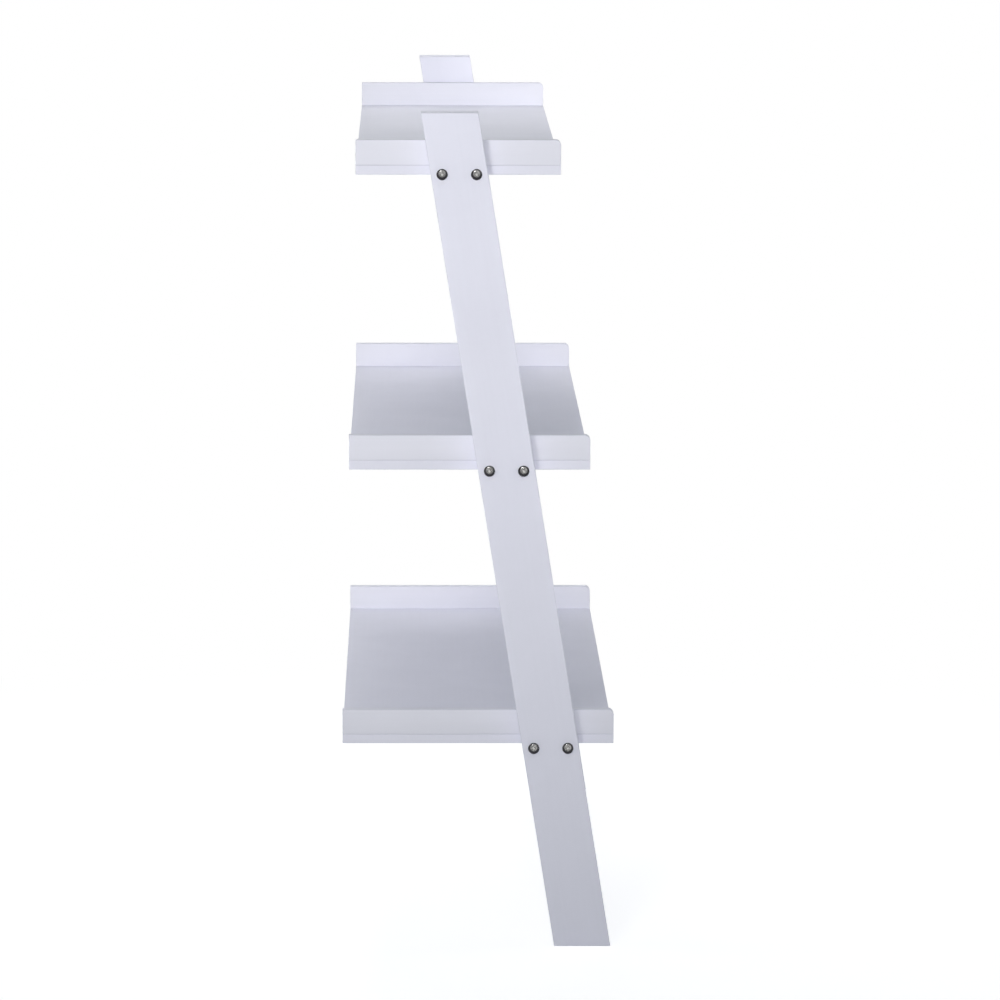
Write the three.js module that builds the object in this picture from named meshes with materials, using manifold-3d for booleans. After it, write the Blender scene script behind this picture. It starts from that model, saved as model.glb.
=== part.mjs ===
// Three-tier leaning ladder shelf with stepped tray depths.
// Millimetres. X runs along the trays, -Y is the front, +Y is the wall side, +Z is up.
// The origin is on the floor, under the middle of the bottom tray.

import * as THREE from 'three';
import { mergeVertices } from 'three/addons/utils/BufferGeometryUtils.js';
import Module from 'manifold-3d';

const wasm = await Module();
wasm.setup();

// Overall
const overallWidth = 860;
const overallHeight = 900;
const easedEdge = 0.5; // painted arris of every wooden piece

// Leaning rails
const railWidth = 60; // measured square to the lean
const railThickness = 25;
const leanDegrees = 9.1;
const footCentreY = -112.5;

// Trays, listed from the floor up. The bolt rise is the height of the bolt axes above the
// underside of the board.
const boardThickness = 10;
const trays = [
  { tier: 'bottom', underside: 218, back: 146, depth: 292, boltRise: -0.5 },
  { tier: 'middle', underside: 516, back: 138.5, depth: 258, boltRise: 2 },
  { tier: 'top', underside: 832, back: 131, depth: 218, boltRise: 2.5 },
];

// Upright end panels, which stand on the ends of each board
const panelHeight = 27;
const panelThickness = 12;
const panelCornerRadius = 6; // front top corner only

// Bearer batten glued under each board, hidden behind the rails
const bearerWidth = 50;
const bearerThickness = 10;

// Machine bolts through the rails into the glued joint of board and bearer
const boltDiameter = 6;
const boltLength = 65;
const boltSpacing = 36.5; // between the two bolts of a pair, level
const boltTipChamfer = 0.8;
const headDiameter = 12;
const headHeight = 4.2;
const headRimHeight = 1.2; // straight rim below the rounded crown
const recessSpan = 6.4; // tip to tip across the cross recess
const recessSlot = 1.3; // width of each arm
const recessDepth = 2.6;
const railHoleDiameter = 6.8;
const boltBoreDiameter = 7;

// Barrel nuts, pushed up from below across each bolt
const nutDiameter = 10;
const nutLength = 10;
const nutInset = 32; // from the end of the tray to the nut's centre
const nutChamfer = 0.8;
const nutHoleClearance = 0.3;
const nutThreadDiameter = 6.6;
const nutSlotWidth = 1.6;
const nutSlotDepth = 1.8;

// Wooden dowels that locate the end panels
const dowelDiameter = 6;
const dowelLength = 24;
const dowelInBoard = 7;
const dowelInset = 25; // from the ends of each panel
const dowelChamfer = 1;
const dowelClearance = 0.3;
const dowelEndGap = 1;

// Facets round the small parts
const boltFacets = 16;
const holeFacets = 16;
const dowelFacets = 10;

const trayLength = overallWidth - 2 * railThickness;
const leanRise = Math.tan(THREE.MathUtils.degToRad(leanDegrees));
const railLevelWidth = railWidth / Math.cos(THREE.MathUtils.degToRad(leanDegrees));
const boltBoreDepth = nutInset + nutDiameter / 2 + 10;
const sides = [
  { side: 'left', sign: -1 },
  { side: 'right', sign: 1 },
];
const places = [
  { place: 'front', sign: -1 },
  { place: 'back', sign: 1 },
];

// Height on the rail's centre line to its place from front to back
function railCentreY(height) {
  return footCentreY + leanRise * height;
}

const paint = { color: 0xe2e2ee, roughness: 0.45, metalness: 0 };
const plating = { color: 0xb4b6b8, roughness: 0.3, metalness: 1 };
const beech = { color: 0xc9a877, roughness: 0.7, metalness: 0 };

function piece(name, geometry, finish) {
  const mesh = new THREE.Mesh(geometry, new THREE.MeshStandardMaterial(finish));
  mesh.name = name;
  return mesh;
}

// Boolean helpers

function toSolid(geometry) {
  const bare = geometry.clone();
  bare.deleteAttribute('normal');
  bare.deleteAttribute('uv');
  const merged = mergeVertices(bare, 1e-4);
  const vertProperties = new Float32Array(merged.attributes.position.array);
  const triVerts = new Uint32Array(merged.index.array);
  return new wasm.Manifold(new wasm.Mesh({ numProp: 3, vertProperties, triVerts }));
}

function toGeometry(solid) {
  const mesh = solid.getMesh();
  const geometry = new THREE.BufferGeometry();
  geometry.setAttribute('position', new THREE.BufferAttribute(mesh.vertProperties, 3));
  geometry.setIndex(new THREE.BufferAttribute(mesh.triVerts, 1));
  geometry.computeVertexNormals();
  return geometry;
}

function cut(geometry, tools) {
  let solid = toSolid(geometry);
  for (const tool of tools) solid = solid.subtract(toSolid(tool));
  return toGeometry(solid);
}

// Shapes

// Turns a shape drawn in (x, y) and extruded along z so that the outline lies in
// world Y and Z and the extrusion runs along world X, centred on X = 0.
function extrudeAlongX(shape, length) {
  const geometry = new THREE.ExtrudeGeometry(shape, {
    depth: length - 2 * easedEdge,
    bevelEnabled: true,
    bevelThickness: easedEdge,
    bevelSize: easedEdge,
    bevelOffset: -easedEdge,
    bevelSegments: 1,
    curveSegments: 6,
  });
  geometry.translate(0, 0, easedEdge - length / 2);
  const turn = new THREE.Matrix4().makeBasis(
    new THREE.Vector3(0, 1, 0),
    new THREE.Vector3(0, 0, 1),
    new THREE.Vector3(1, 0, 0),
  );
  return geometry.applyMatrix4(turn);
}

// Closed outline through anticlockwise corners { y, z }. Each corner is eased by a narrow
// chamfer, or rounded where it has a radius of its own (right-angled corners only).
function easedOutline(corners) {
  const shape = new THREE.Shape();
  corners.forEach((corner, index) => {
    const at = new THREE.Vector2(corner.y, corner.z);
    const reach = corner.radius ?? easedEdge;
    const before = corners.at(index - 1);
    const after = corners[(index + 1) % corners.length];
    const enter = new THREE.Vector2(before.y, before.z).sub(at).setLength(reach).add(at);
    const leave = new THREE.Vector2(after.y, after.z).sub(at).setLength(reach).add(at);
    if (index === 0) shape.moveTo(enter.x, enter.y);
    else shape.lineTo(enter.x, enter.y);
    if (corner.radius) {
      const centre = enter.clone().add(leave).sub(at);
      const start = enter.clone().sub(centre).angle();
      shape.absarc(centre.x, centre.y, corner.radius, start, start + Math.PI / 2, false);
    } else {
      shape.lineTo(leave.x, leave.y);
    }
  });
  shape.closePath();
  return shape;
}

function rectangle(low, high, bottom, top) {
  return easedOutline([
    { y: low, z: bottom },
    { y: high, z: bottom },
    { y: high, z: top },
    { y: low, z: top },
  ]);
}

// A drill along X or Z, centred on the given point
function drill(axis, diameter, length, x, y, z) {
  const geometry = new THREE.CylinderGeometry(diameter / 2, diameter / 2, length, holeFacets);
  if (axis === 'x') geometry.rotateZ(Math.PI / 2);
  else geometry.rotateX(Math.PI / 2);
  return geometry.translate(x, y, z);
}

// Leaning rail: a parallelogram whose ends are cut level, drilled for six bolts
function railGeometry() {
  const half = railLevelWidth / 2;
  const topY = railCentreY(overallHeight);
  const shape = easedOutline([
    { y: footCentreY - half, z: 0 },
    { y: footCentreY + half, z: 0 },
    { y: topY + half, z: overallHeight },
    { y: topY - half, z: overallHeight },
  ]);
  const holes = [];
  for (const tray of trays) {
    for (const { sign } of places) {
      const z = tray.underside + tray.boltRise;
      const y = railCentreY(z) + (sign * boltSpacing) / 2;
      holes.push(drill('x', railHoleDiameter, railThickness + 2, 0, y, z));
    }
  }
  return cut(extrudeAlongX(shape, railThickness), holes);
}

// Drills for the four bolts and four barrel nuts of one tray, about its own underside
function fastenerDrills(tray, pairCentre) {
  const drills = [];
  const holeTop = tray.boltRise + nutLength / 2 + nutHoleClearance;
  const holeBottom = -bearerThickness - 1;
  for (const end of sides) {
    const endX = (end.sign * trayLength) / 2;
    for (const { sign } of places) {
      const y = pairCentre + (sign * boltSpacing) / 2;
      const boreX = endX - (end.sign * (boltBoreDepth - 1)) / 2;
      const nutX = endX - end.sign * nutInset;
      const nutHole = nutDiameter + 2 * nutHoleClearance;
      drills.push(drill('x', boltBoreDiameter, boltBoreDepth + 1, boreX, y, tray.boltRise));
      drills.push(drill('z', nutHole, holeTop - holeBottom, nutX, y, (holeTop + holeBottom) / 2));
    }
  }
  return drills;
}

function dowelPlaces(tray) {
  const front = tray.back - tray.depth;
  return places.map(({ place, sign }) => ({
    place,
    y: sign < 0 ? front + dowelInset : tray.back - dowelInset,
  }));
}

function boardGeometry(tray, pairCentre) {
  const outline = rectangle(tray.back - tray.depth, tray.back, 0, boardThickness);
  const drills = fastenerDrills(tray, pairCentre);
  const holeDiameter = dowelDiameter + 2 * dowelClearance;
  const holeFloor = boardThickness - dowelInBoard;
  for (const { sign } of sides) {
    const x = sign * (trayLength / 2 - panelThickness / 2);
    for (const { y } of dowelPlaces(tray)) {
      drills.push(drill('z', holeDiameter, dowelInBoard * 2, x, y, holeFloor + dowelInBoard));
    }
  }
  return cut(extrudeAlongX(outline, trayLength), drills);
}

function bearerGeometry(tray, pairCentre) {
  const half = bearerWidth / 2;
  const outline = rectangle(pairCentre - half, pairCentre + half, -bearerThickness, 0);
  return cut(extrudeAlongX(outline, trayLength), fastenerDrills(tray, pairCentre));
}

// End panel: square at the back, rounded at the front top corner, drilled from below
function panelGeometry(tray) {
  const front = tray.back - tray.depth;
  const bottom = boardThickness;
  const top = boardThickness + panelHeight;
  const shape = easedOutline([
    { y: front, z: bottom },
    { y: tray.back, z: bottom },
    { y: tray.back, z: top },
    { y: front, z: top, radius: panelCornerRadius },
  ]);
  const holeDiameter = dowelDiameter + 2 * dowelClearance;
  const holeDepth = dowelLength - dowelInBoard + dowelEndGap;
  const drills = dowelPlaces(tray).map(({ y }) =>
    drill('z', holeDiameter, holeDepth * 2, 0, y, bottom),
  );
  return cut(extrudeAlongX(shape, panelThickness), drills);
}

// Pan-head machine bolt, head towards +Y at the origin, shank down -Y, with a cross recess
function boltGeometry() {
  const headRadius = headDiameter / 2;
  const shankRadius = boltDiameter / 2;
  const crownHeight = headHeight - headRimHeight;
  const crownSteps = 4;
  const profile = [
    new THREE.Vector2(0, -boltLength),
    new THREE.Vector2(shankRadius - boltTipChamfer, -boltLength),
    new THREE.Vector2(shankRadius, -boltLength + boltTipChamfer),
    new THREE.Vector2(shankRadius, 0),
    new THREE.Vector2(headRadius, 0),
  ];
  for (let step = 0; step <= crownSteps; step++) {
    const inward = step / crownSteps;
    const rise = crownHeight * Math.sqrt(1 - (1 - inward) ** 2);
    profile.push(new THREE.Vector2(headRadius * (1 - inward), headRimHeight + rise));
  }
  const blank = new THREE.LatheGeometry(profile, boltFacets);
  const armTop = headHeight + 1;
  const armHeight = recessDepth + 1;
  const arms = [
    new THREE.BoxGeometry(recessSpan, armHeight, recessSlot),
    new THREE.BoxGeometry(recessSlot, armHeight, recessSpan),
  ];
  for (const arm of arms) arm.translate(0, armTop - armHeight / 2, 0);
  return cut(blank, arms);
}

// Barrel nut standing on Z, with its thread across it along X and a slot in its lower end
function nutGeometry() {
  const radius = nutDiameter / 2;
  const half = nutLength / 2;
  const profile = [
    new THREE.Vector2(0, -half),
    new THREE.Vector2(radius - nutChamfer, -half),
    new THREE.Vector2(radius, -half + nutChamfer),
    new THREE.Vector2(radius, half - nutChamfer),
    new THREE.Vector2(radius - nutChamfer, half),
    new THREE.Vector2(0, half),
  ];
  const blank = new THREE.LatheGeometry(profile, boltFacets).rotateX(Math.PI / 2);
  const thread = drill('x', nutThreadDiameter, nutDiameter + 2, 0, 0, 0);
  const slot = new THREE.BoxGeometry(nutDiameter + 2, nutSlotWidth, nutSlotDepth * 2);
  slot.translate(0, 0, -half);
  return cut(blank, [thread, slot]);
}

function dowelGeometry() {
  const radius = dowelDiameter / 2;
  const half = dowelLength / 2;
  const profile = [
    new THREE.Vector2(0, -half),
    new THREE.Vector2(radius - dowelChamfer, -half),
    new THREE.Vector2(radius, -half + dowelChamfer),
    new THREE.Vector2(radius, half - dowelChamfer),
    new THREE.Vector2(radius - dowelChamfer, half),
    new THREE.Vector2(0, half),
  ];
  return new THREE.LatheGeometry(profile, dowelFacets).rotateX(Math.PI / 2);
}

// Assembly

const shelf = new THREE.Group();
shelf.name = 'leaning_ladder_shelf';

for (const { side, sign } of sides) {
  const rail = piece(`${side}_rail`, railGeometry(), paint);
  rail.position.x = (sign * (overallWidth - railThickness)) / 2;
  shelf.add(rail);
}

const bolt = boltGeometry();
const nut = nutGeometry();
const dowel = dowelGeometry();

function buildTray(tray) {
  const group = new THREE.Group();
  group.name = `${tray.tier}_tray`;
  group.position.z = tray.underside;
  const pairCentre = railCentreY(tray.underside + tray.boltRise);
  group.add(piece(`${tray.tier}_shelf_board`, boardGeometry(tray, pairCentre), paint));
  group.add(piece(`${tray.tier}_bearer`, bearerGeometry(tray, pairCentre), paint));
  for (const end of sides) {
    const panel = piece(`${tray.tier}_${end.side}_end_panel`, panelGeometry(tray), paint);
    panel.position.x = (end.sign * (trayLength - panelThickness)) / 2;
    group.add(panel);
    addFasteners(group, tray, end, pairCentre);
    addDowels(group, tray, end);
  }
  return group;
}

function addFasteners(group, tray, end, pairCentre) {
  for (const { place, sign } of places) {
    const y = pairCentre + (sign * boltSpacing) / 2;
    const label = `${tray.tier}_${end.side}_${place}`;
    const screw = piece(`${label}_bolt`, bolt, plating);
    screw.rotation.z = -end.sign * (Math.PI / 2);
    screw.position.set((end.sign * overallWidth) / 2, y, tray.boltRise);
    const barrel = piece(`${label}_barrel_nut`, nut, plating);
    barrel.position.set(end.sign * (trayLength / 2 - nutInset), y, tray.boltRise);
    group.add(screw, barrel);
  }
}

function addDowels(group, tray, end) {
  for (const { place, y } of dowelPlaces(tray)) {
    const pin = piece(`${tray.tier}_${end.side}_${place}_dowel`, dowel, beech);
    const x = end.sign * (trayLength / 2 - panelThickness / 2);
    pin.position.set(x, y, boardThickness - dowelInBoard + dowelLength / 2);
    group.add(pin);
  }
}

for (const tray of trays) shelf.add(buildTray(tray));

export default shelf;
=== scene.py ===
import math
import bpy
from mathutils import Matrix, Vector


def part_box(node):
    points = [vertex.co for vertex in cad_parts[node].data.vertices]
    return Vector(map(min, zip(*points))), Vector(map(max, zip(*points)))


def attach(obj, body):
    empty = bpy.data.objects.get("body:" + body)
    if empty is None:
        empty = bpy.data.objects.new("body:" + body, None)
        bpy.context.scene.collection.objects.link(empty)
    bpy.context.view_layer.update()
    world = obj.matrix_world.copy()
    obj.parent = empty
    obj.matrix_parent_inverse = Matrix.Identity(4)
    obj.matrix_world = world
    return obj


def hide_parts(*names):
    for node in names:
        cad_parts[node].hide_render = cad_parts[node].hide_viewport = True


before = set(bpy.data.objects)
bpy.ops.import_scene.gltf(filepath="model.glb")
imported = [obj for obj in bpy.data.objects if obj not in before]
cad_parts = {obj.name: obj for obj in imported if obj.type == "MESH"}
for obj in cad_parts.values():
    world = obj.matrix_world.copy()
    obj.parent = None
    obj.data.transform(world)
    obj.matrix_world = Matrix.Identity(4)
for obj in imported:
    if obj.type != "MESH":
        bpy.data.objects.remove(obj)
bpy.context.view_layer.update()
print("frame loaded with", len(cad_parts), "nodes")

tiers = ["bottom", "middle", "top"]
sides = ["left", "right"]
places = ["front", "back"]
everyCorner = [(tier, side, place) for tier in tiers for side in sides for place in places]
outwardOf = {"left": -1, "right": 1}  # along X
alongX, alongY, alongZ = Vector((1, 0, 0)), Vector((0, 1, 0)), Vector((0, 0, 1))


# Camera, at the photograph's angle

viewer = {
    "place": (-6.2426, 0.0731, 1.3714),
    "yawDegrees": 0.943,
    "pitchDegrees": 8.651,
    "rollDegrees": 0.133,
    "focalPixels": 5519.0,  # on a picture as wide as picturePixels
    "picturePixels": 1000,
    "sensorWidth": 36.0,
    "farthest": 100,
}


def addCamera():
    data = bpy.data.cameras.new("camera")
    data.sensor_width = viewer["sensorWidth"]
    data.lens = viewer["sensorWidth"] * viewer["focalPixels"] / viewer["picturePixels"]
    data.clip_end = viewer["farthest"]
    camera = bpy.data.objects.new("camera", data)
    bpy.context.scene.collection.objects.link(camera)
    yaw = Matrix.Rotation(math.radians(-90 - viewer["yawDegrees"]), 4, "Z")
    pitch = Matrix.Rotation(math.radians(90 - viewer["pitchDegrees"]), 4, "X")
    roll = Matrix.Rotation(math.radians(viewer["rollDegrees"]), 4, "Z")
    camera.matrix_world = Matrix.Translation(viewer["place"]) @ yaw @ pitch @ roll
    bpy.context.scene.camera = camera


addCamera()
print("camera in place")


# Shader maths: a Wire holds one socket, and Python's operators add Math nodes

class Wire:
    def __init__(self, tree, socket):
        self.tree = tree
        self.socket = socket

    def node(self, kind, settings=None, sockets=None, output=0):
        made = self.tree.nodes.new(kind)
        for key, value in (settings or {}).items():
            setattr(made, key, value)
        for key, value in (sockets or {}).items():
            if isinstance(value, Wire):
                self.tree.links.new(value.socket, made.inputs[key])
            else:
                made.inputs[key].default_value = value
        return Wire(self.tree, made.outputs[output]) if made.outputs else None

    def maths(self, operation, first, second):
        return self.node("ShaderNodeMath", {"operation": operation}, {0: first, 1: second})

    def __add__(self, other):
        return self.maths("ADD", self, other)

    def __radd__(self, other):
        return self.maths("ADD", other, self)

    def __sub__(self, other):
        return self.maths("SUBTRACT", self, other)

    def __rsub__(self, other):
        return self.maths("SUBTRACT", other, self)

    def __mul__(self, other):
        return self.maths("MULTIPLY", self, other)

    def __rmul__(self, other):
        return self.maths("MULTIPLY", other, self)


def newMaterial(name):
    material = bpy.data.materials.new(name)
    material.use_nodes = True
    material.node_tree.nodes.clear()
    return material, Wire(material.node_tree, None)


def finishMaterial(start, shader):
    start.node("ShaderNodeOutputMaterial", None, {"Surface": shader})


def objectPlace(start):
    return start.node("ShaderNodeTexCoord", None, None, "Object")


def readMark(start, name):
    return start.node("ShaderNodeAttribute", {"attribute_name": name}, None, "Fac")


def noise(start, place, scale, detail, roughness=0.5):
    sockets = {"Vector": place, "Scale": scale, "Detail": detail, "Roughness": roughness}
    return start.node("ShaderNodeTexNoise", None, sockets)


def ringNoise(start, reach, scale, detail):
    sockets = {"W": reach, "Scale": scale, "Detail": detail}
    return start.node("ShaderNodeTexNoise", {"noise_dimensions": "1D"}, sockets)


def centred(pattern):
    return pattern - 0.5  # a noise lies about one half


def between(start, value, low, high, easing="LINEAR"):
    sockets = {"Value": value, "From Min": low, "From Max": high}
    return start.node("ShaderNodeMapRange", {"interpolation_type": easing}, sockets)


def mixColours(start, share, first, second):
    sockets = {"Factor": share, "A": first, "B": second}
    return start.node("ShaderNodeMix", {"data_type": "RGBA"}, sockets, 2)


def relief(start, height, strength, depth):
    sockets = {"Height": height, "Strength": strength, "Distance": depth}
    return start.node("ShaderNodeBump", None, sockets)


# Satin paint on the wooden pieces

paint = {
    "railCoat": (0.803, 0.806, 0.902, 1),
    "boardCoat": (0.801, 0.803, 0.893, 1),
    "panelCoat": (0.799, 0.802, 0.878, 1),
    "thinning": 0.967,  # darkens each coat where it lies a little thinner
    "thinRange": (0.36, 0.64),
    "cloudShare": 0.6,
    "grainShare": 0.25,
    "stippleShare": 0.15,
    "arris": (0.690, 0.695, 0.775, 1),  # darker along every rounded edge: partly a thinner coat, partly painted shade that darkens the seams between parts and the edges
    "arrisLeast": 0.5,  # how much of it shows where the stipple is thinnest
    "arrisStipple": 0.5,  # and how much the stipple adds
    "clouds": {"scale": 11, "detail": 3, "roughness": 0.55},
    "stipple": {"scale": 620, "detail": 2, "roughness": 0.5},
    "grain": {"scale": 260, "detail": 3, "roughness": 0.6},
    "grainStretch": 0.018,
    "roughness": 0.64,
    "cloudRoughness": 0.14,
    "stippleRoughness": 0.1,
    "specular": 0.2,
    "stippleHeight": 0.55,
    "grainHeight": 0.45,
    "relief": 0.22,
    "reliefDepth": 0.0004,
}


def paintMaterial(name, coat, grainTurn):
    material, start = newMaterial(name)
    place = objectPlace(start)
    clouds = noise(start, place, **paint["clouds"])
    stipple = noise(start, place, **paint["stipple"])
    alongGrain = start.node(
        "ShaderNodeMapping", {"vector_type": "TEXTURE"},
        {"Vector": place, "Rotation": grainTurn, "Scale": (1 / paint["grainStretch"], 1, 1)},
    )
    grain = noise(start, alongGrain, **paint["grain"])
    thinness = clouds * paint["cloudShare"] + grain * paint["grainShare"]
    thinness = between(start, thinness + stipple * paint["stippleShare"], *paint["thinRange"])
    thinCoat = [part * paint["thinning"] for part in coat[:3]] + [1]
    field = mixColours(start, thinness, coat, thinCoat)
    # rounded edges are darkened: a thinner coat there, and painted shade for the seams between
    # parts and the edges
    edgeCoatAndShade = readMark(start, "arris") * (paint["arrisLeast"] + stipple * paint["arrisStipple"])
    colour = mixColours(start, edgeCoatAndShade, field, paint["arris"])
    roughness = paint["roughness"] + centred(clouds) * paint["cloudRoughness"]
    roughness = roughness + centred(stipple) * paint["stippleRoughness"]
    height = stipple * paint["stippleHeight"] + grain * paint["grainHeight"]
    shader = start.node(
        "ShaderNodeBsdfPrincipled", None,
        {
            "Base Color": colour, "Roughness": roughness, "Specular IOR Level": paint["specular"],
            "Normal": relief(start, height, paint["relief"], paint["reliefDepth"]),
        },
    )
    finishMaterial(start, shader)
    return material


# Zinc plating on bolts and barrel nuts

plating = {
    "crown": (0.225, 0.223, 0.220, 1),
    "worn": (0.380, 0.377, 0.370, 1),  # where the passivation has rubbed off
    "wornRange": (0.44, 0.60),
    "rimReflection": (0.038, 0.037, 0.041, 1),  # painted dark reflection round the rim of the domed head
    "shoulderRise": 0.0013,  # the painted dark reflection lies round a point this far above the axis, so it is wider on the lower side
    "rimReflectionRange": (0.54, 0.72),  # in head radii from that point
    "rimReflectionRagged": 0.16,
    "recess": (0.540, 0.535, 0.525, 1),  # painted reflection: the cross recess lighter, as light caught on its walls
    "pitting": {"scale": 2600, "detail": 3, "roughness": 0.6},
    "blotches": {"scale": 2600 / 6, "detail": 2},  # six pits across
    "turning": {"scale": 30, "detail": 2},  # marks that the tool left as rings
    "roughness": 0.20,
    "pittingRoughness": 0.10,
    "turningHeight": 0.6,
    "pittingHeight": 0.4,
    "relief": 0.12,
    "reliefDepth": 0.0001,
}


def platingMaterial(name):
    material, start = newMaterial(name)
    place = objectPlace(start)
    outward = readMark(start, "outward")
    pitting = noise(start, place, **plating["pitting"])
    blotches = noise(start, place, **plating["blotches"])
    turning = ringNoise(start, outward, **plating["turning"])
    rubbed = between(start, blotches, *plating["wornRange"])
    crown = mixColours(start, rubbed, plating["crown"], plating["worn"])
    # the rim is painted dark as a painted reflection, wider on the lower side
    ragged = outward + centred(blotches) * plating["rimReflectionRagged"]
    reflectedDarkShare = between(start, ragged, *plating["rimReflectionRange"], "SMOOTHSTEP")
    skin = mixColours(start, reflectedDarkShare, crown, plating["rimReflection"])
    # the cross recess is painted lighter, a painted reflection of light on its walls
    colour = mixColours(start, readMark(start, "inRecess"), skin, plating["recess"])
    roughness = plating["roughness"] + centred(pitting) * plating["pittingRoughness"]
    height = turning * plating["turningHeight"] + pitting * plating["pittingHeight"]
    shader = start.node(
        "ShaderNodeBsdfPrincipled", None,
        {
            "Base Color": colour, "Roughness": roughness, "Metallic": 1.0,
            "Normal": relief(start, height, plating["relief"], plating["reliefDepth"]),
        },
    )
    finishMaterial(start, shader)
    return material


# Beech of the locating dowels

beech = {
    "pale": (0.62, 0.43, 0.25, 1),
    "dark": (0.43, 0.27, 0.14, 1),
    "darkRange": (0.4, 0.66),
    "fibres": {"scale": 900, "detail": 4, "roughness": 0.6},
    "fibreStretch": 0.06,
    "roughness": 0.62,
    "darkRoughness": 0.1,
    "relief": 0.3,
    "reliefDepth": 0.0002,
}


def beechMaterial(name):
    material, start = newMaterial(name)
    alongGrain = start.node(
        "ShaderNodeMapping", None,
        {"Vector": objectPlace(start), "Scale": (1, 1, beech["fibreStretch"])},
    )
    fibres = noise(start, alongGrain, **beech["fibres"])
    flecks = between(start, fibres, *beech["darkRange"])
    shader = start.node(
        "ShaderNodeBsdfPrincipled", None,
        {
            "Base Color": mixColours(start, flecks, beech["pale"], beech["dark"]),
            "Roughness": beech["roughness"] + flecks * beech["darkRoughness"],
            "Normal": relief(start, fibres, beech["relief"], beech["reliefDepth"]),
        },
    )
    finishMaterial(start, shader)
    return material


# Modelling helpers

bench = {
    "hair": 0.0001,  # how near a point has to lie to a face to be on it
    "overrun": 0.001,  # how far a cutting tool reaches past the piece
    "facing": 0.9,  # how much of a normal has to point the way that is asked for
    "rodFacets": 48,
    "arrisSteps": 3,
    "sharpDegrees": 50,
    "smoothDegrees": 32,
    "flatness": 0.995,  # a face that turns further from the flat ones is an arris
}


def startFresh():
    if bpy.context.object and bpy.context.object.mode == "EDIT":
        bpy.ops.object.mode_set(mode="OBJECT")
    bpy.ops.object.select_all(action="DESELECT")


def bakePlace(piece):
    startFresh()
    piece.select_set(True)
    bpy.context.view_layer.objects.active = piece
    bpy.ops.object.transform_apply(location=True, rotation=True, scale=True)
    return piece


def newBox(name, low, high):
    startFresh()
    low, high = Vector(low), Vector(high)
    bpy.ops.mesh.primitive_cube_add(size=1, location=(low + high) / 2, scale=high - low)
    box = bpy.context.object
    box.name = name
    box.data.name = name
    return bakePlace(box)


def newRod(name, radius, start, end, facets=bench["rodFacets"]):
    startFresh()
    start, end = Vector(start), Vector(end)
    along = end - start
    bpy.ops.mesh.primitive_cylinder_add(
        vertices=facets, radius=radius, depth=along.length, location=(start + end) / 2,
        rotation=along.to_track_quat("Z", "Y").to_euler(),
    )
    rod = bpy.context.object
    rod.name = name
    rod.data.name = name
    return bakePlace(rod)


def levelDrill(radius, at, startX, endX):
    return newRod("drill", radius, (startX, at.y, at.z), (endX, at.y, at.z))


def uprightDrill(radius, at, bottom, top):
    return newRod("drill", radius, (at.x, at.y, bottom), (at.x, at.y, top))


def clearPicks(kind):
    bpy.ops.object.mode_set(mode="EDIT")
    bpy.ops.mesh.select_mode(type=kind)
    bpy.ops.mesh.select_all(action="DESELECT")
    bpy.ops.object.mode_set(mode="OBJECT")


def pickFaces(piece, wanted):
    clearPicks("FACE")
    for face in piece.data.polygons:
        face.select = wanted(face.center, face.normal)
    bpy.ops.object.mode_set(mode="EDIT")


def facesUp(centre, normal):
    return normal.z > bench["facing"]


def facesDown(centre, normal):
    return normal.z < -bench["facing"]


def edgeEnds(piece, edge):
    return [piece.data.vertices[index].co for index in edge.vertices]


def pickEdges(piece, wanted):
    clearPicks("EDGE")
    for edge in piece.data.edges:
        edge.select = wanted(*edgeEnds(piece, edge))
    bpy.ops.object.mode_set(mode="EDIT")


def roundPicked(radius, steps):
    bpy.ops.mesh.bevel(offset=radius, segments=steps, affect="EDGES", profile=0.5)
    bpy.ops.object.mode_set(mode="OBJECT")


def roundSharpEdges(piece, radius, steps=bench["arrisSteps"], spared=lambda a, b: False):
    clearPicks("EDGE")
    bpy.ops.object.mode_set(mode="EDIT")
    bpy.ops.mesh.edges_select_sharp(sharpness=math.radians(bench["sharpDegrees"]))
    bpy.ops.object.mode_set(mode="OBJECT")
    for face in piece.data.polygons:
        face.select = False  # a picked face would pick its spared edges again
    for edge in piece.data.edges:
        if edge.select and spared(*edgeEnds(piece, edge)):
            edge.select = False
    bpy.ops.object.mode_set(mode="EDIT")
    roundPicked(radius, steps)


def combine(piece, tools, operation="DIFFERENCE"):
    startFresh()
    for tool in tools:
        tool.select_set(True)
    bpy.context.view_layer.objects.active = tools[0]
    if len(tools) > 1:
        bpy.ops.object.join()
    bpy.context.view_layer.objects.active = piece
    modifier = piece.modifiers.new("cut", "BOOLEAN")
    modifier.operation = operation
    modifier.solver = "EXACT"
    modifier.use_self = len(tools) > 1
    modifier.object = tools[0]
    bpy.ops.object.modifier_apply(modifier=modifier.name)
    bpy.data.objects.remove(tools[0])


def smoothPiece(piece, degrees=bench["smoothDegrees"]):
    startFresh()
    piece.select_set(True)
    bpy.context.view_layer.objects.active = piece
    bpy.ops.object.shade_smooth_by_angle(angle=math.radians(degrees))


def markArrises(piece, flatDirections):
    marks = piece.data.attributes.new("arris", "FLOAT", "FACE")
    for face in piece.data.polygons:
        nearest = max(abs(face.normal.dot(direction)) for direction in flatDirections)
        marks.data[face.index].value = 0.0 if nearest > bench["flatness"] else 1.0


def dress(piece, material, slotName, *nodes):
    piece.data.materials.clear()
    piece.data.materials.append(material)
    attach(piece, "root")
    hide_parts(*nodes)


def finishWood(piece, node, drills, material, flatDirections=(alongX, alongY, alongZ)):
    combine(piece, drills)
    smoothPiece(piece)
    markArrises(piece, flatDirections)
    dress(piece, material, "white_paint", node)


def middleOf(node):
    low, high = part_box(node)
    return (low + high) / 2


def outerEnd(node, side):
    low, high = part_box(node)
    return low.x if side == "left" else high.x


# Leaning side rails, both ends cut level

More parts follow.
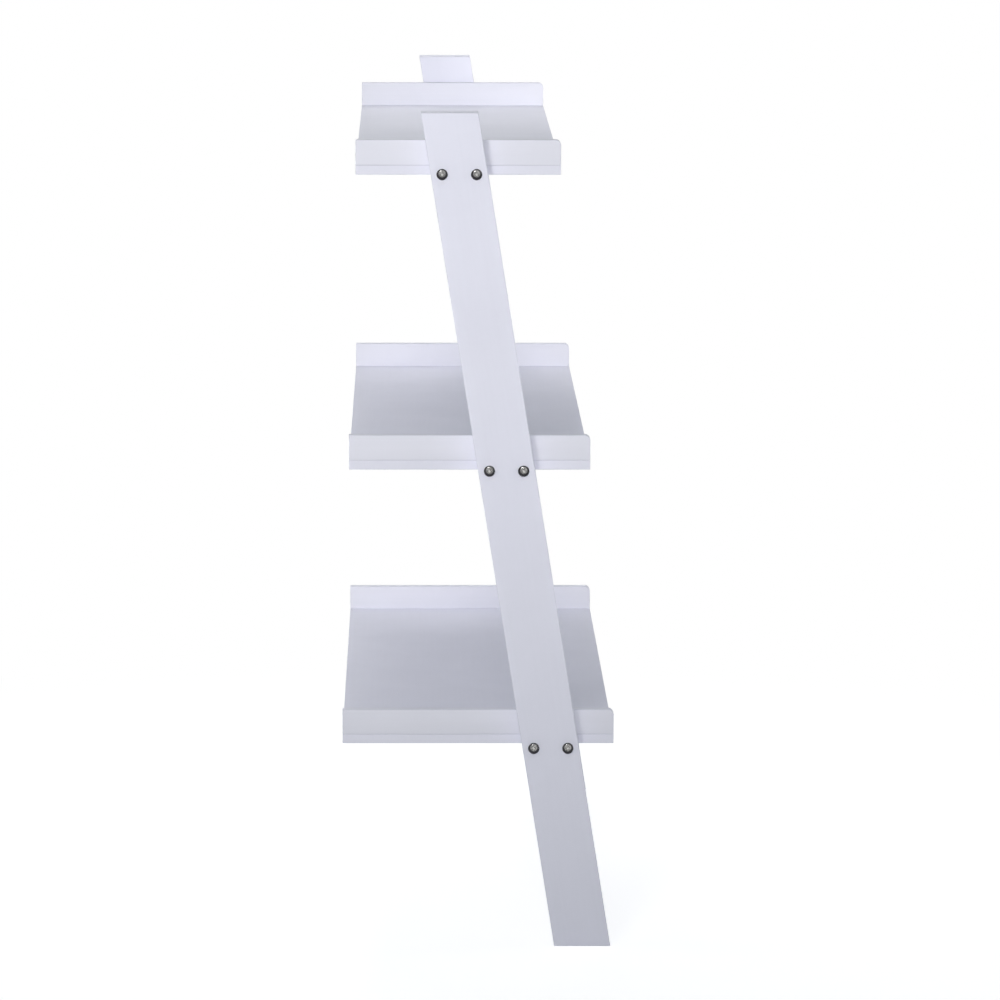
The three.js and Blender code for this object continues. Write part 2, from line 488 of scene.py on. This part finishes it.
railForm = {
    "width": 0.060,  # square to the lean
    "leanDegrees": 9.1,
    "arris": 0.0006,
    "topArris": 0.0012,
    "topArrisSteps": 4,
    "holeRadius": 0.0034,
}
leanAngle = math.radians(railForm["leanDegrees"])
leanNormal = Vector((0, math.cos(leanAngle), -math.sin(leanAngle)))
grainUpRail = (0, math.radians(railForm["leanDegrees"] - 90), math.radians(90))
railPaint = paintMaterial("rail_paint", paint["railCoat"], grainUpRail)


def makeRail(side):
    node = side + "_rail"
    low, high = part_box(node)
    levelWidth = railForm["width"] / math.cos(leanAngle)
    lean = high.y - low.y - levelWidth
    rail = newBox(node + "_painted", low, (high.x, low.y + levelWidth, high.z))
    pickFaces(rail, facesUp)
    bpy.ops.transform.translate(value=(0, lean, 0))
    bpy.ops.object.mode_set(mode="OBJECT")
    pickEdges(rail, lambda a, b: min(a.z, b.z) > high.z - bench["hair"])
    roundPicked(railForm["topArris"], railForm["topArrisSteps"])
    roundSharpEdges(rail, railForm["arris"])
    startX, endX = low.x - bench["overrun"], high.x + bench["overrun"]
    bolts = [f"{tier}_{side}_{place}_bolt" for tier in tiers for place in places]
    drills = [levelDrill(railForm["holeRadius"], middleOf(bolt), startX, endX) for bolt in bolts]
    finishWood(rail, node, drills, railPaint, (alongX, alongZ, leanNormal))


for side in sides:
    makeRail(side)
print("rails made")


# Trays: board, bearer and two end panels each

trayForm = {
    "boardArris": 0.0005,
    "panelArris": 0.0006,
    "panelCorner": 0.006,
    "panelCornerSteps": 10,
    "boreRadius": 0.0035,
    "borePastNut": 0.015,
    "nutHoleRadius": 0.0053,
    "nutHoleRoom": 0.0003,  # above the nut
    "dowelHoleRadius": 0.0033,
    "dowelHoleRoom": 0.001,  # above the dowel, inside the panel
    "dowelDrillOverrun": 0.002,
}
boardPaint = paintMaterial("board_paint", paint["boardCoat"], (0, 0, 0))
panelPaint = paintMaterial("panel_paint", paint["panelCoat"], (0, 0, math.radians(90)))


def fastenerDrills(tier, lowest):
    drills = []
    for side in sides:
        mouth = outerEnd(tier + "_shelf_board", side) + outwardOf[side] * bench["overrun"]
        for place in places:
            nutLow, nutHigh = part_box(f"{tier}_{side}_{place}_barrel_nut")
            nut = (nutLow + nutHigh) / 2
            boreEnd = nut.x - outwardOf[side] * trayForm["borePastNut"]
            drills.append(levelDrill(trayForm["boreRadius"], nut, mouth, boreEnd))
            bottom, top = lowest - bench["overrun"], nutHigh.z + trayForm["nutHoleRoom"]
            drills.append(uprightDrill(trayForm["nutHoleRadius"], nut, bottom, top))
    return drills


def dowelDrills(dowels, fromAbove):
    drills = []
    overrun = trayForm["dowelDrillOverrun"]
    for dowel in dowels:
        low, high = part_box(dowel)
        bottom = low.z if fromAbove else low.z - overrun
        top = high.z + (overrun if fromAbove else trayForm["dowelHoleRoom"])
        drills.append(uprightDrill(trayForm["dowelHoleRadius"], (low + high) / 2, bottom, top))
    return drills


def makeBoard(tier):
    node = tier + "_shelf_board"
    low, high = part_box(node)
    board = newBox(node + "_painted", low, high)
    roundSharpEdges(board, trayForm["boardArris"])
    dowels = [f"{tier}_{side}_{place}_dowel" for side in sides for place in places]
    drills = fastenerDrills(tier, low.z) + dowelDrills(dowels, True)
    finishWood(board, node, drills, boardPaint)


def makeBearer(tier):
    node = tier + "_bearer"
    low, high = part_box(node)
    bearer = newBox(node + "_painted", low, high)
    roundSharpEdges(bearer, trayForm["boardArris"])
    finishWood(bearer, node, fastenerDrills(tier, low.z), boardPaint)


def makePanel(tier, side):
    node = f"{tier}_{side}_end_panel"
    low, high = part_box(node)
    hair = bench["hair"]
    panel = newBox(node + "_painted", low, high)
    inner = high.x if side == "left" else low.x

    def atFrontTop(a, b):
        return min(a.z, b.z) > high.z - hair and max(a.y, b.y) < low.y + hair

    def atInnerFoot(a, b):
        return max(a.z, b.z) < low.z + hair and max(abs(a.x - inner), abs(b.x - inner)) < hair

    pickEdges(panel, atFrontTop)
    roundPicked(trayForm["panelCorner"], trayForm["panelCornerSteps"])
    roundSharpEdges(panel, trayForm["panelArris"], spared=atInnerFoot)
    dowels = [f"{tier}_{side}_{place}_dowel" for place in places]
    finishWood(panel, node, dowelDrills(dowels, False), panelPaint)


for tier in tiers:
    makeBoard(tier)
    makeBearer(tier)
    for side in sides:
        makePanel(tier, side)
print("trays made")


# Cross-recess pan-head bolts

boltForm = {
    "headRadius": 0.006,
    "headHeight": 0.0042,
    "rimHeight": 0.0011,
    "shoulderSteps": 9,
    "crownRadius": 0.0034,  # where the crown turns into the shoulder
    "crownDrop": 0.00045,
    "crownSteps": 4,
    "neckRadius": 0.00295,  # plain part of the shank, which runs through the rail
    "neckLength": 0.035,
    "rootRadius": 0.00245,
    "threadRadius": 0.003,
    "threadHalfBase": 0.42,  # as a share of the pitch
    "threadRooting": 0.3,  # as a share of the thread's height
    "threadStart": 1.4,  # tip chamfers from the tip
    "turnsLeftOut": 2,
    "pitch": 0.001,
    "length": 0.065,
    "tipChamfer": 0.0008,
    "armSpan": 0.0064,
    "armWidth": 0.0013,
    "endTaper": 0.42,  # size of the recess's floor against its mouth
    "sideTaper": 0.8,
    "recessDepth": 0.0026,
    "solidHeight": 0.0005,  # the head has no recess lower than this
    "facets": 64,
    "turnSteps": 20,
    "smoothDegrees": 38,
    "recessTurns": [-40, 22, 12, 63, 35, 4, 15, 50, 71, 28, 8, 44],  # degrees, one for each bolt
}
boltPlating = platingMaterial("bolt_plating")


def headProfile():
    # (radius, height) from the rim in towards the middle of the crown
    form = boltForm
    points = [(form["headRadius"], form["rimHeight"])]
    shoulderWidth = form["headRadius"] - form["crownRadius"]
    shoulderRise = form["headHeight"] - form["crownDrop"] - form["rimHeight"]
    for step in range(1, form["shoulderSteps"] + 1):
        angle = math.radians(90) * step / form["shoulderSteps"]
        radius = form["crownRadius"] + shoulderWidth * math.cos(angle)
        points.append((radius, form["rimHeight"] + shoulderRise * math.sin(angle)))
    for step in range(1, form["crownSteps"]):
        share = 1 - step / form["crownSteps"]
        height = form["headHeight"] - form["crownDrop"] * share * share
        points.append((form["crownRadius"] * share, height))
    return points


def pushFace(distance, scale):
    # extrude the picked end face along Z, then shrink it about the axis
    bpy.ops.mesh.extrude_region_move(TRANSFORM_OT_translate={"value": (0, 0, distance)})
    bpy.ops.transform.resize(value=(scale, scale, 1), center_override=(0, 0, 0))


def boltBlank():
    form = boltForm
    startFresh()
    bpy.ops.mesh.primitive_cylinder_add(
        vertices=form["facets"], radius=form["headRadius"], depth=form["rimHeight"],
        location=(0, 0, form["rimHeight"] / 2),
    )
    blank = bakePlace(bpy.context.object)
    pickFaces(blank, facesUp)
    profile = headProfile()
    for before, after in zip(profile, profile[1:]):
        pushFace(after[1] - before[1], after[0] / before[0])
    bpy.ops.object.mode_set(mode="OBJECT")
    pickFaces(blank, facesDown)
    pushFace(0, form["neckRadius"] / form["headRadius"])
    pushFace(-form["neckLength"], 1)
    pushFace(form["rootRadius"] - form["neckRadius"], form["rootRadius"] / form["neckRadius"])
    pushFace(form["tipChamfer"] + form["neckLength"] - form["length"], 1)
    pushFace(-form["tipChamfer"], 1 - form["tipChamfer"] / form["rootRadius"])
    bpy.ops.object.mode_set(mode="OBJECT")
    return blank


def threadRidge():
    # a small triangle swept up the shank in a helix
    form = boltForm
    startFresh()
    bpy.ops.mesh.primitive_circle_add(
        vertices=3, radius=1, fill_type="NOTHING", rotation=(math.radians(90), math.radians(90), 0)
    )
    ridge = bakePlace(bpy.context.object)
    height = form["threadRadius"] - form["rootRadius"]
    inner = form["rootRadius"] - height * form["threadRooting"]
    halfBase = form["pitch"] * form["threadHalfBase"]
    firstZ = form["tipChamfer"] * form["threadStart"] - form["length"]
    corners = [(form["threadRadius"], 0), (inner, halfBase), (inner, -halfBase)]
    for vertex, (radius, rise) in zip(ridge.data.vertices, corners):
        vertex.co = (radius, 0, firstZ + rise)
    sweep = ridge.modifiers.new("helix", "SCREW")
    sweep.axis = "Z"
    sweep.steps = form["turnSteps"]
    sweep.render_steps = form["turnSteps"]
    sweep.screw_offset = form["pitch"]
    turns = int((form["length"] - form["neckLength"]) / form["pitch"])
    sweep.iterations = turns - form["turnsLeftOut"]
    bpy.ops.object.modifier_apply(modifier=sweep.name)
    bpy.ops.object.mode_set(mode="EDIT")
    bpy.ops.mesh.select_all(action="SELECT")
    bpy.ops.mesh.fill_holes(sides=3)
    bpy.ops.mesh.select_all(action="SELECT")
    bpy.ops.mesh.normals_make_consistent(inside=False)
    bpy.ops.object.mode_set(mode="OBJECT")
    return ridge


def recessCutter():
    form = boltForm
    top = form["headHeight"] + bench["overrun"]
    floor = form["headHeight"] - form["recessDepth"]
    halfSpan, halfWidth = form["armSpan"] / 2, form["armWidth"] / 2
    atEnds, atSides = form["endTaper"], form["sideTaper"]
    shapes = [(halfSpan, halfWidth, atEnds, atSides), (halfWidth, halfSpan, atSides, atEnds)]
    arms = []
    for halfX, halfY, taperX, taperY in shapes:
        arm = newBox("arm", (-halfX, -halfY, floor), (halfX, halfY, top))
        pickFaces(arm, facesDown)
        bpy.ops.transform.resize(value=(taperX, taperY, 1), center_override=(0, 0, floor))
        bpy.ops.object.mode_set(mode="OBJECT")
        arms.append(arm)
    return arms


def markOutward(piece, fullRadius, fromAxis):
    reach = piece.data.attributes.new("outward", "FLOAT", "POINT")
    for index, point in enumerate(piece.data.vertices):
        reach.data[index].value = fromAxis(point.co) / fullRadius


def markRecessFaces(piece):
    # one in the recess, nought elsewhere
    form = boltForm
    highest = form["headHeight"] - form["crownDrop"] - bench["hair"]
    marks = piece.data.attributes.new("inRecess", "FLOAT", "FACE")
    for face in piece.data.polygons:
        inside = face.center.xy.length < form["armSpan"] / 2
        sunk = form["solidHeight"] < face.center.z < highest
        marks.data[face.index].value = 1.0 if inside and sunk else 0.0


def makeBolt():
    bolt = boltBlank()
    combine(bolt, recessCutter())
    combine(bolt, [threadRidge()], "UNION")
    smoothPiece(bolt, boltForm["smoothDegrees"])
    markRecessFaces(bolt)
    return bolt


def placeCopy(pattern, node, matrix, material, slotName):
    part = pattern.copy()
    part.data = pattern.data.copy()
    part.name = node + "_detailed"
    part.data.name = part.name
    bpy.context.scene.collection.objects.link(part)
    part.matrix_world = matrix
    bakePlace(part)
    dress(part, material, slotName, node)
    return part


def placeBolts(pattern):
    for (tier, side, place), degrees in zip(everyCorner, boltForm["recessTurns"]):
        node = f"{tier}_{side}_{place}_bolt"
        at = middleOf(node)
        underHead = outerEnd(node, side) - outwardOf[side] * boltForm["headHeight"]
        spot = Matrix.Translation((underHead, at.y, at.z))
        face = Matrix.Rotation(math.radians(90) * outwardOf[side], 4, "Y")
        turn = Matrix.Rotation(math.radians(degrees), 4, "Z")
        bolt = placeCopy(pattern, node, spot @ face @ turn, boltPlating, "zinc_plating")
        # centre of the painted dark reflection, raised above the axis so it is wider below
        reflectionCentre = Vector((at.y, at.z + plating["shoulderRise"]))
        markOutward(bolt, boltForm["headRadius"], lambda point: (point.yz - reflectionCentre).length)


boltPattern = makeBolt()
placeBolts(boltPattern)
bpy.data.objects.remove(boltPattern)
print("bolts made")


# Barrel nuts, seen from below in their holes

nutForm = {
    "radius": 0.005,
    "length": 0.010,
    "facets": 56,
    "chamfer": 0.0006,
    "chamferSteps": 2,
    "threadRadius": 0.0031,
    "threadFacets": 40,
    "slotWidth": 0.0016,
    "slotDepth": 0.0018,
    "reflectionSpread": 1.5,  # the painted dark reflection lies further out than on a bolt's head
}


def makeNut():
    form = nutForm
    half = form["length"] / 2
    nut = newRod("nut", form["radius"], (0, 0, -half), (0, 0, half), form["facets"])
    roundSharpEdges(nut, form["chamfer"], form["chamferSteps"])
    reach = form["radius"] + bench["overrun"]
    ends = (-reach, 0, 0), (reach, 0, 0)
    thread = newRod("thread", form["threadRadius"], *ends, form["threadFacets"])
    slotSide = form["slotWidth"] / 2
    slotFoot, slotTop = -half - bench["overrun"], form["slotDepth"] - half
    slot = newBox("slot", (-reach, -slotSide, slotFoot), (reach, slotSide, slotTop))
    combine(nut, [thread, slot])
    smoothPiece(nut)
    # the same painted dark reflection round the nut's ends
    markOutward(nut, form["radius"] * form["reflectionSpread"], lambda point: point.xy.length)
    return nut


nutPattern = makeNut()
for tier, side, place in everyCorner:
    node = f"{tier}_{side}_{place}_barrel_nut"
    placeCopy(nutPattern, node, Matrix.Translation(middleOf(node)), boltPlating, "zinc_plating")
bpy.data.objects.remove(nutPattern)
print("barrel nuts made")


# Fluted beech dowels under the end panels

dowelForm = {
    "radius": 0.003,
    "length": 0.024,
    "facets": 36,
    "chamfer": 0.0008,
    "chamferSteps": 2,
    "facetsPerFlute": 3,
    "fluteHalfWidth": 0.2,  # as a share of the way from flute to flute
    "fluteDepth": 0.00025,
    "smoothDegrees": 25,
}
dowelBeech = beechMaterial("dowel_beech")


def makeDowel():
    form = dowelForm
    half = form["length"] / 2
    dowel = newRod("dowel", form["radius"], (0, 0, -half), (0, 0, half), form["facets"])
    roundSharpEdges(dowel, form["chamfer"], form["chamferSteps"])
    every = math.radians(360) / form["facets"] * form["facetsPerFlute"]

    def isFlute(centre, normal):
        flutes = math.atan2(centre.y, centre.x) / every
        upright = abs(normal.z) < 1 - bench["facing"]
        return upright and abs(flutes - round(flutes)) < form["fluteHalfWidth"]

    pickFaces(dowel, isFlute)
    bpy.ops.mesh.extrude_faces_move(TRANSFORM_OT_shrink_fatten={"value": -form["fluteDepth"]})
    bpy.ops.object.mode_set(mode="OBJECT")
    smoothPiece(dowel, form["smoothDegrees"])
    return dowel


dowelPattern = makeDowel()
for tier, side, place in everyCorner:
    node = f"{tier}_{side}_{place}_dowel"
    placeCopy(dowelPattern, node, Matrix.Translation(middleOf(node)), dowelBeech, "beech_dowel")
bpy.data.objects.remove(dowelPattern)
print("dowels made")


# Floor, world and lamps

studio = {
    "white": (1, 1, 1, 1),
    "floorHalf": 30,
    "floorColour": (0.80, 0.80, 0.81, 1),
    "fleckColour": (0.78, 0.78, 0.79, 1),
    "fleckShare": 0.2,
    "flecks": {"scale": 60, "detail": 2},
    "floorGlow": 0.60,
    "whiteRange": (0.5, 1.3),  # how far from the middle the floor turns white
    "ambient": (0.94, 1, 1.015, 1),  # cool where the lamps don't reach
    "ambientStrength": 0.368,
    "lampColour": (1.02, 1, 1),
    "shinyLamps": ["behindTop", "glint"],  # only these show in a gloss
    "glossOnly": ["glint"],  # for the shine on the bolt heads
}
lamps = [  # spread in degrees
    {"name": "front", "size": 0.7, "spread": 46, "power": 2.1,
     "place": (-3.98, 0.03, 1.33), "aim": (-0.4, 0.03, 0.95)},
    {"name": "frontLeft", "size": 0.7, "spread": 46, "power": 2.85,
     "place": (-3.87, 0.90, 1.33), "aim": (-0.4, 0.03, 0.95)},
    {"name": "behindTop", "size": 0.6, "spread": 180, "power": 4.1,
     "place": (1.0, 0.2, 1.7), "aim": (0.2, 0, 0.8)},
    {"name": "overTop", "size": 0.3, "spread": 56, "power": 0.03,
     "place": (0.34, 0.06, 1.5), "aim": (0.30, 0.02, 0.84)},
    {"name": "wallSide", "size": 0.6, "spread": 70, "power": 0.6,
     "place": (-0.2, 1.5, 0.75), "aim": (0.4, 0, 0.4)},
    {"name": "wallEdge", "size": 0.1, "spread": 40, "power": 0.4,
     "place": (-0.4, 1.7, 0.3), "aim": (-0.41, 0, 0.6)},
    {"name": "frontSide", "size": 0.5, "spread": 50, "power": 0.91,
     "place": (-0.1, -1.5, 1.1), "aim": (0.4, 0, 0.85)},
    {"name": "nearSide", "size": 0.5, "spread": 30, "power": 0.15,
     "place": (-0.7, -1.5, 0.9), "aim": (-0.35, 0, 0.53)},
    {"name": "lowWall", "size": 0.3, "spread": 40, "power": 0.14,
     "place": (-0.1, 1.3, 0.36), "aim": (0.42, 0, 0.25)},
    {"name": "lowEnd", "size": 0.4, "spread": 2.6, "power": 0.01,
     "place": (-12.0, 0.05, 0.45), "aim": (0, 0, 0.28)},
    {"name": "fillFront", "size": 0.8, "spread": 60, "power": 3.0,
     "place": (0.15, -3.2, 0.42), "aim": (0.15, 0, 0.4)},
    {"name": "fillWall", "size": 1.4, "spread": 60, "power": 1.5,
     "place": (0.15, 3.2, 0.7), "aim": (0.15, 0, 0.45)},
    {"name": "fillEnd", "size": 1.2, "spread": 50, "power": 2.0,
     "place": (4.0, 0, 0.5), "aim": (0.4, 0, 0.5)},
    {"name": "glint", "size": 0.22, "spread": 74, "power": 1.1,
     "place": (-1.02, 0.23, 1.20), "aim": (-0.43, -0.03, 0.12)},
]


def seenByViewer(start):
    # one for what is seen straight, in a gloss or through glass, nought for scattered light
    camera, glossy, through = [
        start.node("ShaderNodeLightPath", None, None, f"Is {kind} Ray")
        for kind in ["Camera", "Glossy", "Transmission"]
    ]
    return start.maths("MAXIMUM", start.maths("MAXIMUM", camera, glossy), through)


def makeFloor():
    startFresh()
    bpy.ops.mesh.primitive_plane_add(size=2 * studio["floorHalf"], location=(0, 0, 0))
    floor = bpy.context.object
    floor.name = "floor"
    material, start = newMaterial("pale_floor")
    place = objectPlace(start)
    flecks = noise(start, place, **studio["flecks"]) * studio["fleckShare"]
    tone = mixColours(start, flecks, studio["floorColour"], studio["fleckColour"])
    matte = start.node("ShaderNodeBsdfDiffuse", None, {"Color": tone})
    glow, white = [
        start.node("ShaderNodeEmission", None, {"Color": studio["white"], "Strength": strength})
        for strength in [studio["floorGlow"], 1]
    ]
    near = start.node("ShaderNodeAddShader", None, {0: matte, 1: glow})
    distance = start.node("ShaderNodeVectorMath", {"operation": "LENGTH"}, {0: place}, "Value")
    away = between(start, distance, *studio["whiteRange"], "SMOOTHSTEP")
    shown = start.node("ShaderNodeMixShader", None, {0: away, 1: near, 2: white})
    top = start.node("ShaderNodeMixShader", None, {0: seenByViewer(start), 1: matte, 2: shown})
    under = start.node("ShaderNodeNewGeometry", None, None, "Backfacing")
    clear = start.node("ShaderNodeBsdfTransparent", None, None)
    finishMaterial(start, start.node("ShaderNodeMixShader", None, {0: under, 1: top, 2: clear}))
    floor.data.materials.append(material)


def makeWorld():
    world = bpy.data.worlds.new("studio")
    world.use_nodes = True
    world.node_tree.nodes.clear()
    start = Wire(world.node_tree, None)
    ambient = {"Color": studio["ambient"], "Strength": studio["ambientStrength"]}
    fill = start.node("ShaderNodeBackground", None, ambient)
    white = start.node("ShaderNodeBackground", None, {"Color": studio["white"], "Strength": 1})
    mixed = start.node("ShaderNodeMixShader", None, {0: seenByViewer(start), 1: fill, 2: white})
    start.node("ShaderNodeOutputWorld", None, {"Surface": mixed})
    bpy.context.scene.world = world


def makeLamps():
    for lamp in lamps:
        name = lamp["name"]
        data = bpy.data.lights.new(name, "AREA")
        data.shape = "DISK"
        data.size = lamp["size"]
        data.spread = math.radians(lamp["spread"])
        data.energy = lamp["power"]
        data.color = studio["lampColour"]
        light = bpy.data.objects.new(name, data)
        bpy.context.scene.collection.objects.link(light)
        light.location = lamp["place"]
        towards = Vector(lamp["aim"]) - Vector(lamp["place"])
        light.rotation_euler = towards.to_track_quat("-Z", "Y").to_euler()
        light.visible_camera = False
        light.visible_glossy = name in studio["shinyLamps"]
        light.visible_diffuse = name not in studio["glossOnly"]


makeFloor()
makeWorld()
makeLamps()
bpy.context.scene.view_settings.view_transform = "Standard"
print("studio lit")
